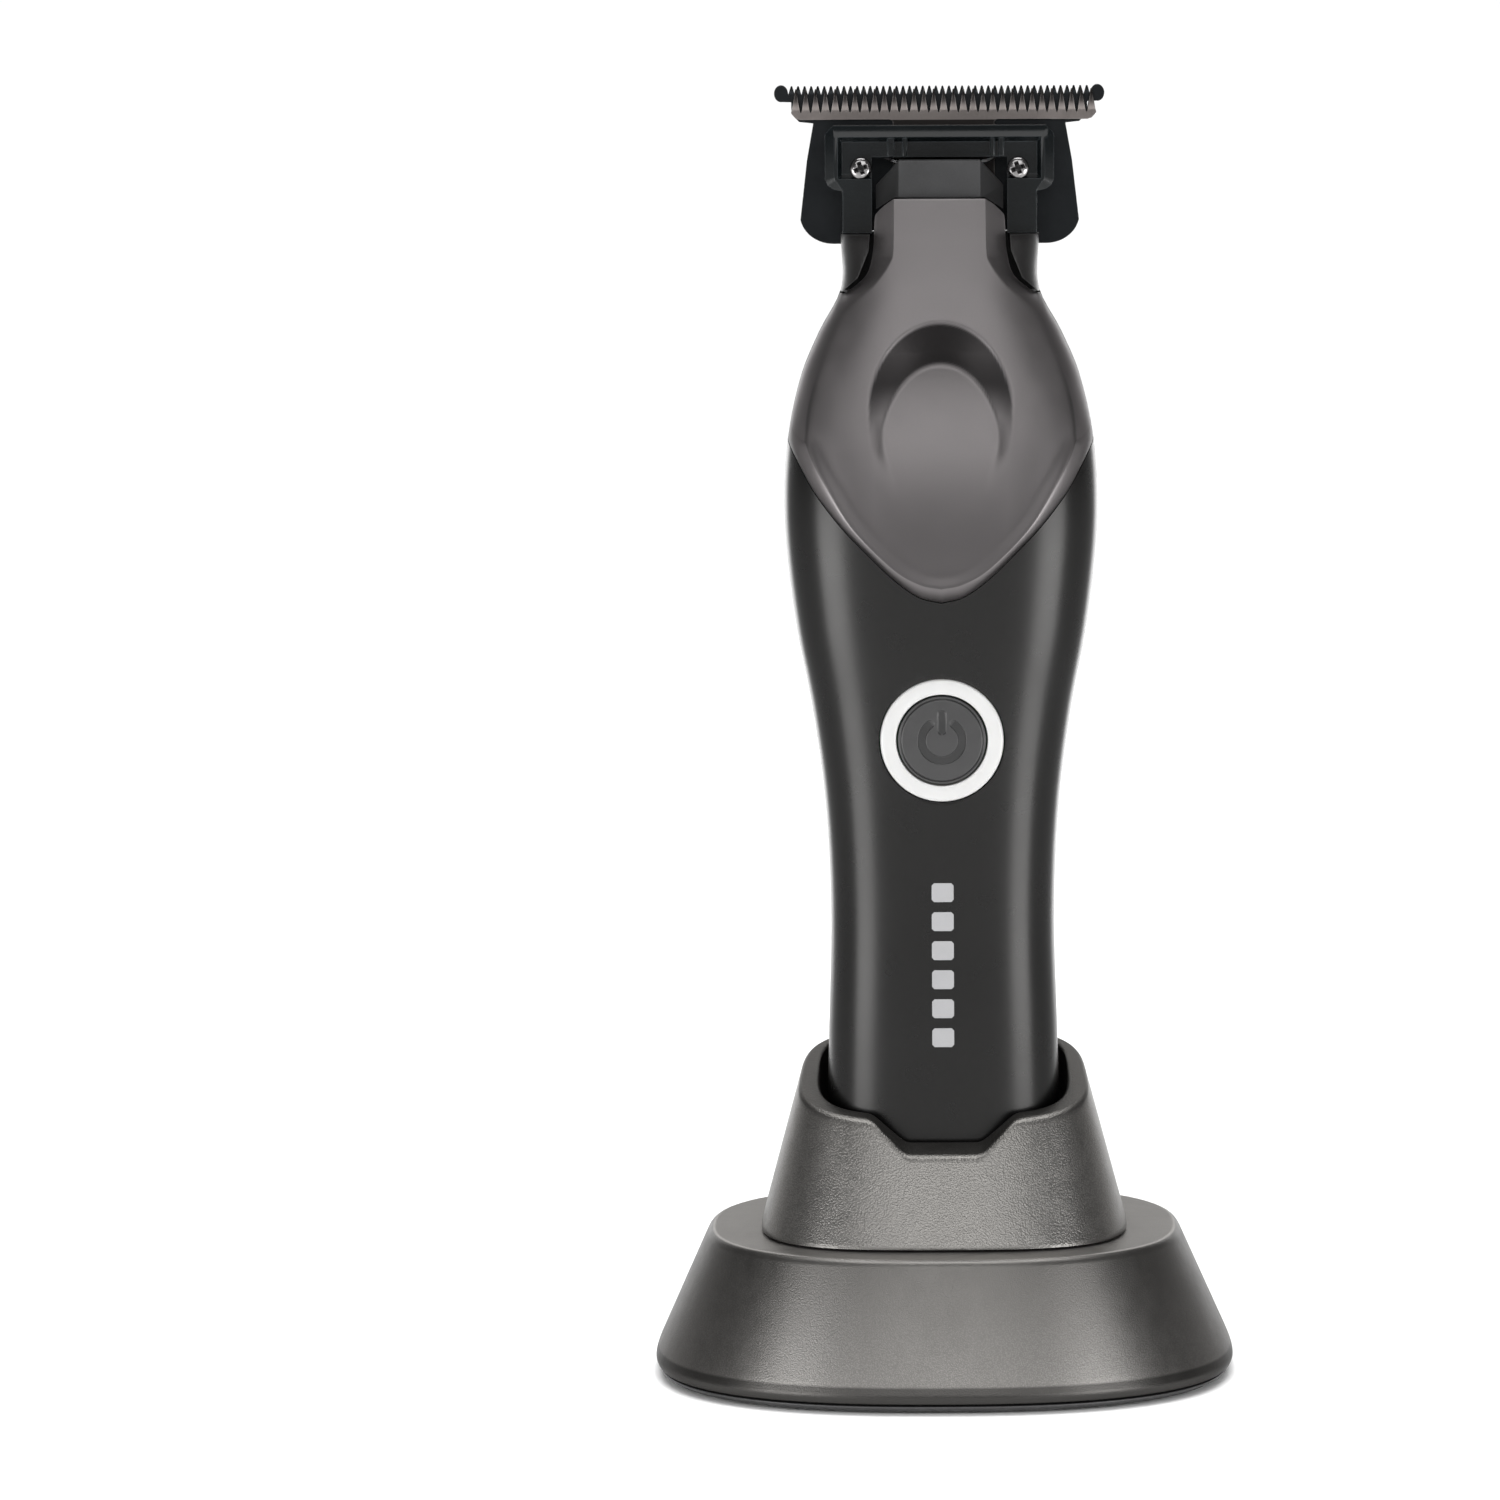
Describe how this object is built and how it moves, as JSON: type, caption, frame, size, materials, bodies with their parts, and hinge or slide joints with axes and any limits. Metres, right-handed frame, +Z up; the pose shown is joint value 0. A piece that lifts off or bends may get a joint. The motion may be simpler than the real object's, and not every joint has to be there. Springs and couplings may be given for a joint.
{
  "type": "beard trimmer on a charging dock",
  "caption": "Cordless T-blade beard trimmer with a waisted body, raised front cover and round power button, standing upright in a weighted charging dock.",
  "frame": {"origin": "on the floor, under the middle of the dock", "axes": "+Z up along the trimmer, -Y towards the side with the power button, +X to the right of someone facing that side"},
  "size_m": [0.08, 0.0708, 0.1775],
  "materials": {
    "housing": "satin graphite anodised metal",
    "cover": "soft-touch matt taupe grey",
    "nose": "matt dark grey",
    "end_cap": "matt dark grey",
    "neck": "satin black",
    "bracket": "gloss black",
    "fixed_blade": "black hard-coated steel",
    "cutter_blade": "brownish grey hard-coated steel",
    "yoke": "natural white plastic",
    "blade_screws": "bright cross-head screws",
    "screws": "zinc-plated steel",
    "spring": "bright spring wire",
    "motor_steel": "bare drawn steel",
    "bearing": "polished steel",
    "magnet": "dark sintered magnet",
    "copper": "enamelled copper winding",
    "inner_plastic": "black moulded plastic",
    "cam": "natural white plastic",
    "cell": "blue shrink wrap",
    "board": "green solder mask",
    "switch": "tinned steel",
    "button": "satin dark grey with a pressed power symbol",
    "ring": "translucent white",
    "connector": "nickel-plated steel",
    "contacts": "gold-plated",
    "dock": "gunmetal paint with a fine grain",
    "dock_underside": "matt black",
    "ballast": "bare steel plate",
    "feet": "matt black rubber"
  },
  "bodies": {
    "dock": {"dock_base": "dock", "dock_tower": "dock", "dock_bottom": "dock_underside", "dock_ballast": "ballast", "dock_board": "board", "dock_inlet": "connector", "dock_pin_barrel_left": "contacts", "dock_pin_barrel_right": "contacts", "dock_pin_spring_left": "spring", "dock_pin_spring_right": "spring", "dock_foot_1": "feet", "dock_foot_2": "feet", "dock_foot_3": "feet", "dock_foot_4": "feet", "dock_screw_1": "screws", "dock_screw_2": "screws", "dock_screw_3": "screws", "dock_screw_4": "screws"},
    "trimmer": {"front_cover": "cover", "front_housing": "housing", "rear_housing": "housing", "bottom_cap": "end_cap", "case_screw_1": "screws", "case_screw_2": "screws", "case_screw_3": "screws", "case_screw_4": "screws", "neck": "neck", "nose_cap": "nose", "fixed_blade": "fixed_blade", "blade_bracket": "bracket", "cutter_spring": "spring", "blade_screw_left": "blade_screws", "blade_screw_right": "blade_screws", "motor_can": "motor_steel", "motor_end_bell": "inner_plastic", "upper_bearing": "bearing", "lower_bearing": "bearing", "stator_coils": "copper", "motor_mount": "inner_plastic", "motor_screw_left": "screws", "motor_screw_right": "screws", "inner_frame": "inner_plastic", "battery_cell": "cell", "control_board": "board", "tact_switch": "switch", "light_ring": "ring", "charge_board": "board", "charging_port": "connector", "charge_contact_left": "contacts", "charge_contact_right": "contacts"},
    "power_button": {"power_button": "button"},
    "rotor": {"motor_shaft": "motor_steel", "rotor_magnet": "magnet", "eccentric_cam": "cam"},
    "cutter": {"cutter_blade": "cutter_blade", "cutter_yoke": "yoke"},
    "dock_pin_left": {"dock_pin_left": "contacts"},
    "dock_pin_right": {"dock_pin_right": "contacts"}
  },
  "joints": [
    {"name": "trimmer_lift", "type": "slide", "parent": "dock", "child": "trimmer", "axis": [0, 0, 1], "range_m": [0, 0.04]},
    {"name": "power_press", "type": "slide", "parent": "trimmer", "child": "power_button", "axis": [0, 1, 0], "range_m": [0, 0.0006], "stiffness_N_per_m": 1500},
    {"name": "rotor_spin", "type": "hinge", "parent": "trimmer", "child": "rotor", "pos_m": [0, 0, 0.117], "axis": [0, 0, 1], "continuous": true},
    {"name": "cutter_stroke", "type": "slide", "parent": "trimmer", "child": "cutter", "axis": [1, 0, 0], "range_m": [-0.0014, 0.0002]},
    {"name": "dock_pin_left_press", "type": "slide", "parent": "dock", "child": "dock_pin_left", "axis": [0, 0, 1], "range_m": [-0.001, 0], "stiffness_N_per_m": 300, "deforming": ["dock_pin_spring_left"]},
    {"name": "dock_pin_right_press", "type": "slide", "parent": "dock", "child": "dock_pin_right", "axis": [0, 0, 1], "range_m": [-0.001, 0], "stiffness_N_per_m": 300, "deforming": ["dock_pin_spring_right"]}
  ]
}
